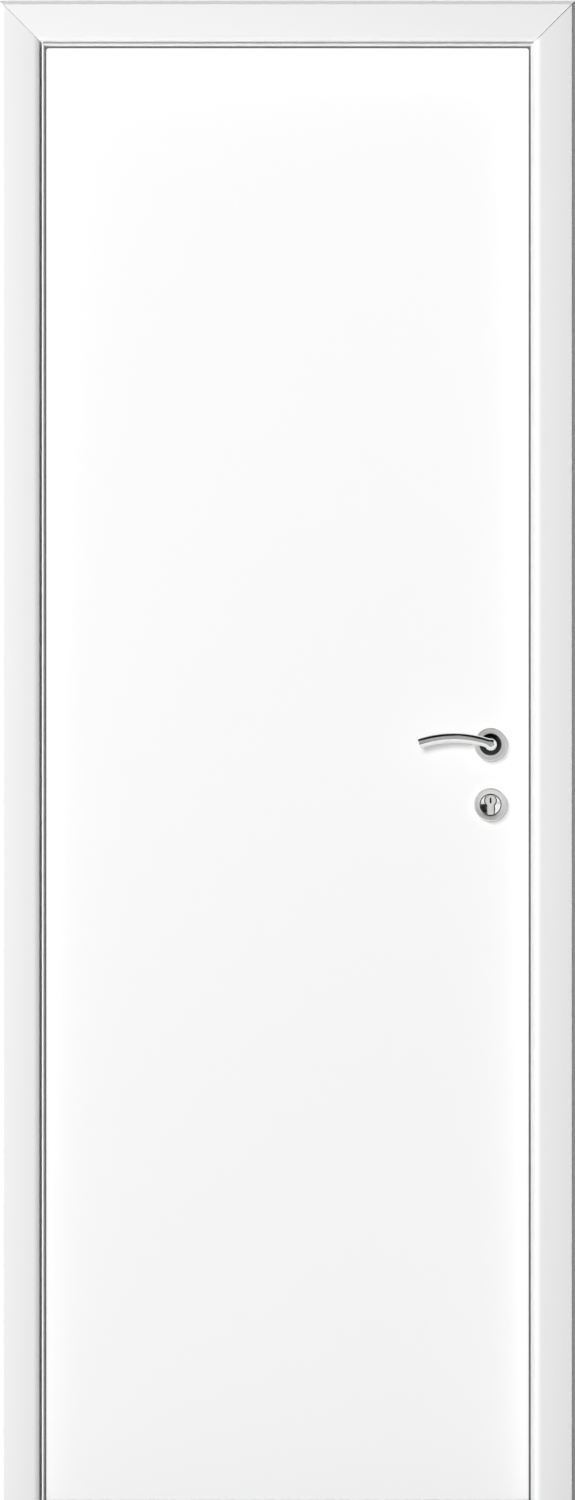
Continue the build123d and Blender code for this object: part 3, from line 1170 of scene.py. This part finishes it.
@dataclass(frozen=True)
class KeySet:
    """Escutcheon with its dished insert and the end of the profile cylinder."""

    place: FacePlace
    satin: Material
    bright: Material
    dark: Material
    brushed: Material
    keyway: Material
    plug_z: float = 1.0171
    plug_stand: float = 0.0101
    keyway_half: Vector = Vector((0.0012, 0.0039))
    margin: float = 0.0002
    dish: float = 0.0014
    insert_radius: float = 0.015
    insert_height: float = 0.0075
    cut_edge: float = 0.0008
    plug_edge: float = 0.0003
    face_slack: float = 0.0001
    level_normal: float = 0.9
    cuts: int = 25

    def build(self) -> None:
        """Make the set."""
        word = self.place.side.word
        ring = Ring(self.satin, self.dark)
        ring.build(self.place, word + "_escutcheon_ring", word + "_escutcheon")
        self.dished_insert(word)
        plug = BENCH.copy_of(word + "_key_plug")
        BENCH.soften(plug, self.plug_edge, self.is_outer)
        # Faces inside the keyway take the keyway material: near-black painted shade in the slot.
        for face in plug.faces:
            face.material_index = int(self.in_keyway(face.calc_center_median()))
        BENCH.publish(
            plug, word + "_key_plug_eased", word + "_plug", self.brushed, "satin_nickel",
            [word + "_key_plug"], trim=[self.keyway],
        )

    def is_outer(self, edge: Edge) -> bool:
        """Whether an edge lies in the plug's outer face."""
        level, outward = self.place.level(), self.place.side.value
        return all(
            (v.co.y - level) * outward > self.plug_stand - self.margin for v in edge.verts
        )

    def in_keyway(self, middle: Vector) -> bool:
        """Whether a face of the plug with this middle lies inside its keyway."""
        across = abs(middle.x - self.place.x)
        upward = abs(middle.z - self.plug_z)
        stand = (middle.y - self.place.level()) * self.place.side.value
        beside = across < self.keyway_half.x + self.margin
        within = upward < self.keyway_half.y + self.margin
        return beside and within and stand < self.plug_stand - self.keyway_half.x

    def dished_insert(self, word: str) -> None:
        """The polished disc round the cylinder, hollowed towards its middle, with the walls of
        its cut-out painted near-black as painted shade in the gap round the cylinder.

        Args:
            word: The side's name.
        """
        bm = BENCH.copy_of(word + "_key_insert")
        bmesh.ops.transform(bm, matrix=self.place.matrix().inverted(), verts=bm.verts)
        BENCH.soften(bm, self.cut_edge, self.on_cut, 1)
        # The cut-out's walls take the dark material: painted shade in the gap round the
        # cylinder.
        for face in bm.faces:
            inside = face.calc_center_median().xy.length < self.insert_radius - self.cut_edge
            face.material_index = int(inside and abs(face.normal.z) < self.level_normal)
        for step in range(1, self.cuts):
            cut = self.insert_radius * (2.0 * step / self.cuts - 1.0)
            for normal in (Vector((1, 0, 0)), Vector((0, 1, 0))):
                bmesh.ops.bisect_plane(
                    bm, geom=bm.verts[:] + bm.edges[:] + bm.faces[:],
                    plane_co=normal * cut, plane_no=normal,
                )
        for vert in bm.verts:
            if vert.co.z > self.insert_height - self.face_slack:
                share = min(1.0, vert.co.xy.length / self.insert_radius)
                vert.co.z -= self.dish * (1.0 - share * share)
        bmesh.ops.transform(bm, matrix=self.place.matrix(), verts=bm.verts)
        BENCH.publish(
            bm, word + "_key_insert_dished", "leaf", self.bright, "bright_chrome",
            [word + "_key_insert"], crease=30.0, trim=[self.dark],
        )

    def on_cut(self, edge: Edge) -> bool:
        """Whether an edge of the insert's face borders the cylinder's cut-out."""
        low, high = (v.co for v in edge.verts)
        level = min(low.z, high.z) > self.insert_height - self.margin
        return level and ((low + high) / 2).xy.length < self.insert_radius - 2 * self.cut_edge


# Studio


def gather(name: str, pieces: Sequence[bpy.types.Object]) -> bpy.types.Collection:
    """Put pieces in a collection that a lamp can be linked to.

    Args:
        name: The collection's name.
        pieces: The pieces.

    Returns:
        The collection, which isn't part of the scene.
    """
    group = bpy.data.collections.new(name)
    for piece in pieces:
        group.objects.link(piece)
    return group


@dataclass(frozen=True)
class Lamp:
    """A large soft lamp that points at the door."""

    name: str
    place: Point
    size: float
    power: float
    aim: Point = (0.39, 0.0, 1.1)

    def hang(
        self,
        lit: Union[bpy.types.Collection, None] = None,
        shading: Union[bpy.types.Collection, None] = None,
    ) -> None:
        """Make the lamp and point it.

        Args:
            lit: The pieces that it lights, or None for all.
            shading: The pieces that cast its shadows, or None for all.
        """
        data = bpy.data.lights.new(self.name, "AREA")
        data.shape = "SQUARE"
        data.size = self.size
        data.energy = self.power
        lamp = bpy.data.objects.new(self.name, data)
        bpy.context.scene.collection.objects.link(lamp)
        lamp.location = self.place
        ray = Vector(self.aim) - lamp.location
        lamp.rotation_euler = ray.to_track_quat("-Z", "Y").to_euler()
        lamp.visible_camera = False
        lamp.visible_glossy = False
        lamp.light_linking.receiver_collection = lit
        lamp.light_linking.blocker_collection = shading


@dataclass(frozen=True)
class Card:
    """A flat card that only polished surfaces see."""

    name: str
    low: Point
    high: Point
    grey: float
    thickness: float = 0.002

    def hang(self) -> None:
        """Make the card, which lies in the plane in which its two corners agree."""
        bm = bmesh.new()
        bmesh.ops.create_cube(bm, size=1.0)
        low, high = Vector(self.low), Vector(self.high)
        span = Vector(max(self.thickness, b - a) for a, b in zip(low, high))
        bmesh.ops.scale(bm, vec=span, verts=bm.verts)
        bmesh.ops.translate(bm, vec=(low + high) / 2, verts=bm.verts)
        sheet = Sheet(self.name)
        tone = (self.grey, self.grey, self.grey, 1.0)
        glow = sheet.out("ShaderNodeEmission", {}, {"Color": tone})
        card = set_down(bm, self.name, sheet.close(glow))
        card.visible_camera = False
        card.visible_diffuse = False
        card.visible_shadow = False
        card.visible_transmission = False
        card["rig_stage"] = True


@dataclass(frozen=True)
class Studio:
    """Camera, lamps, floor, cards and background."""

    eye: Point = (0.39, -24.045, 1.0901)
    lens: float = 399.0
    floor_half: float = 40.0
    ambient: float = 0.1
    sensor: float = 36.0
    sight: float = 200.0
    cloud_size: float = 0.8

    def build(self) -> None:
        """Set up the camera, the floor, the cards and the background."""
        self.set_camera()
        self.lay_floor()
        self.set_background()
        for card in (
            Card("front_left_dark_card", (-0.1, -6.0, 0.85), (0.745, -6.0, 3.6), 0.015),
            Card("front_right_dark_card", (0.83, -6.0, 0.85), (3.0, -6.0, 3.6), 0.015),
            Card("front_high_card", (-1.6, -6.0, 3.6), (3.0, 1.0, 3.6), 0.015),
            Card("back_dark_card", (-2.2, 6.0, 0.85), (0.9, 6.0, 3.6), 0.015),
            Card("back_high_card", (-2.2, 1.0, 3.6), (2.4, 6.0, 3.6), 0.015),
            Card("front_pale_card", (-5.0, -9.0, 0.004), (6.0, -0.4, 0.004), 1.0),
            Card("back_pale_card", (-5.0, 0.4, 0.004), (6.0, 9.0, 0.004), 1.0),
        ):
            card.hang()

    def light(self) -> None:
        """Hang the lamps: pairs before and behind the door for uprights, head and leaf."""
        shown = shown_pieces()
        white = [p for p in shown if p.get("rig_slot") == "frame_white"]
        head = gather("head_mouldings", [p for p in white if "head" in p.name])
        strike = [p for p in white if p.name.startswith("strike_side_stop")]
        upright = [p for p in white if "head" not in p.name and p not in strike]
        uprights = gather("upright_mouldings", upright)
        panel = [p for p in shown if p.name.endswith("_skin_sheet")]
        casting = gather("casting", [*(p for p in white if p not in strike), *panel])
        rest = gather("leaf_and_fittings", [p for p in shown if p not in white] + strike)
        fittings = gather("leaf_alone", [p for p in shown if p.get("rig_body") != "frame"])
        ends = ("_ring", "strike_side_stop_moulding")
        low = gather("low_pieces", [p for p in shown if p.name.endswith(ends)])
        door = gather("whole_door", shown)
        floor = gather("floor_alone", [bpy.data.objects["floor"]])
        Lamp("uprights_front", (-6.8, -6.2, 1.9), 1.6, 1200.0).hang(uprights, casting)
        Lamp("uprights_back", (7.6, 6.2, 1.9), 1.6, 1060.0).hang(uprights, casting)
        Lamp("head_front", (-0.8, -4.2, 0.1), 1.0, 370.0).hang(head)
        Lamp("head_back", (1.6, 4.2, 0.1), 1.0, 370.0).hang(head)
        Lamp("leaf_front", (-1.0, -12.6, 2.8), 2.2, 860.0).hang(rest, fittings)
        Lamp("leaf_back", (1.8, 12.6, 2.8), 2.2, 750.0).hang(rest, fittings)
        Lamp("slanting_front", (-4.7, -10.2, 6.7), 4.2, 780.0).hang(rest, low)
        Lamp("slanting_back", (5.5, 10.2, 6.7), 4.2, 680.0).hang(rest, low)
        Lamp("left_side", (-6.0, 3.5, 2.0), 2.0, 60.0).hang(door)
        Lamp("right_side", (6.8, 3.5, 2.0), 2.0, 40.0).hang(door)
        Lamp("top", (0.4, -0.6, 7.0), 3.0, 120.0).hang(head)
        Lamp("overhead", (0.39, 0.0, 30.0), 160.0, 66000.0).hang(floor)

    def set_camera(self) -> None:
        """Aim a long lens straight at the door, as in the photograph."""
        data = bpy.data.cameras.new("camera")
        data.type = "PERSP"
        data.lens = self.lens
        data.sensor_width = self.sensor
        data.clip_end = self.sight
        camera = bpy.data.objects.new("camera", data)
        bpy.context.scene.collection.objects.link(camera)
        camera.location = self.eye
        camera.rotation_euler = (math.radians(90.0), 0.0, 0.0)
        bpy.context.scene.camera = camera

    def lay_floor(self) -> None:
        """Lay a plain pale floor under the door."""
        bm = bmesh.new()
        bmesh.ops.create_grid(bm, x_segments=1, y_segments=1, size=self.floor_half)
        sheet = Sheet("floor_paint")
        cloud = sheet.noise(sheet.place(), self.cloud_size, 3.0)
        floor = set_down(bm, "floor", sheet.surface({
            "Base Color": sheet.blend(cloud, (0.84, 0.84, 0.84), (0.87, 0.87, 0.87)),
            "Roughness": 0.8,
        }))
        floor.visible_diffuse = False
        floor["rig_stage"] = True

    def set_background(self) -> None:
        """White for what is seen directly or mirrored, a lower level for soft light."""
        bpy.context.scene.world = bpy.data.worlds.new("studio")
        sheet = Sheet("studio", bpy.context.scene.world)
        path = sheet.add("ShaderNodeLightPath", {}, {})
        camera, mirror, glass = (
            Wire(sheet, path.outputs[f"Is {ray} Ray"])
            for ray in ("Camera", "Glossy", "Transmission")
        )
        seen = camera.join("MAXIMUM", camera.join("MAXIMUM", camera, mirror), glass)
        level = sheet.out(
            "ShaderNodeMapRange", {}, {"Value": seen, "To Min": self.ambient, "To Max": 1.0}
        )
        white = {"Color": (1.0, 1.0, 1.0, 1.0), "Strength": level}
        back = sheet.out("ShaderNodeBackground", {}, white)
        sheet.add("ShaderNodeOutputWorld", {}, {"Surface": back})
        bpy.context.scene.view_settings.view_transform = "Standard"


def clear_defaults() -> None:
    """Remove whatever a new file holds beside the loaded part."""
    known = set(frame["nodes"].values()) | set(frame["bodies"].values())
    for thing in list(bpy.context.scene.objects):
        if thing not in known:
            bpy.data.objects.remove(thing)


def main() -> None:
    """Build the studio and every sub-assembly of the door, in order."""
    logging.basicConfig(level=logging.INFO, format="%(name)s: %(message)s")
    clear_defaults()
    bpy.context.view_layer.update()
    studio = Studio()
    studio.build()

    handle_low, handle_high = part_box("front_rose")
    key_low, key_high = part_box("front_escutcheon")
    handle = (handle_low + handle_high) / 2
    key = (key_low + key_high) / 2

    frame_white = WhiteFilm("frame_film", (0.86, 0.86, 0.862), 0.42, 0.012).make()
    leaf_white = WhiteFilm("leaf_laminate", (0.93, 0.93, 0.93), 0.5, 0.006).make()
    edge_white = WhiteFilm("edge_band_film", (0.9, 0.9, 0.9), 0.46, 0.01).make()
    satin_upright = SatinNickel("satin_nickel_upright").make()
    satin_inlay = SatinNickel(
        "satin_nickel_inlay", Grain.ACROSS, colour=(0.64, 0.635, 0.62), roughness=0.4
    ).make()
    satin_rose = SatinNickel("satin_nickel_rose", Grain.TURNED, handle).make()
    satin_key = SatinNickel("satin_nickel_escutcheon", Grain.TURNED, key).make()
    cylinder_face = SatinNickel(
        "satin_nickel_cylinder", colour=(0.95, 0.945, 0.935), roughness=0.55
    ).make()
    chrome = PolishedMetal("bright_chrome").make()
    # dark_chrome's near-black colour is painted shade and painted dark reflection: it lines the
    # rings' bore steps, the inserts' cut-out walls and the collars.
    dark_chrome = PolishedMetal("dark_chrome", (0.04, 0.04, 0.043), 0.12).make()
    slot_shade = DullBlack("keyway_shade", (0.012, 0.012, 0.012)).make()
    steel = ZincSteel("zinc_plated_steel").make()
    screws = Screws(slot_shade)

    Lining(frame_white, DullBlack("gasket_rubber").make()).build()
    Leaf(leaf_white, edge_white, ChipCore("chipboard_core").make()).build()
    Hinges(satin_upright, screws).build()
    Lock(satin_upright, chrome, steel, screws).build()
    BENCH.dress("cylinder_body", cylinder_face)
    for side in Side:
        at_handle = FacePlace(side, handle.x, handle.z)
        at_key = FacePlace(side, key.x, key.z)
        HandleSet(at_handle, satin_rose, satin_inlay, chrome, dark_chrome).build()
        KeySet(at_key, satin_key, chrome, dark_chrome, cylinder_face, slot_shade).build()

    studio.light()


if __name__ == "__main__":
    main()
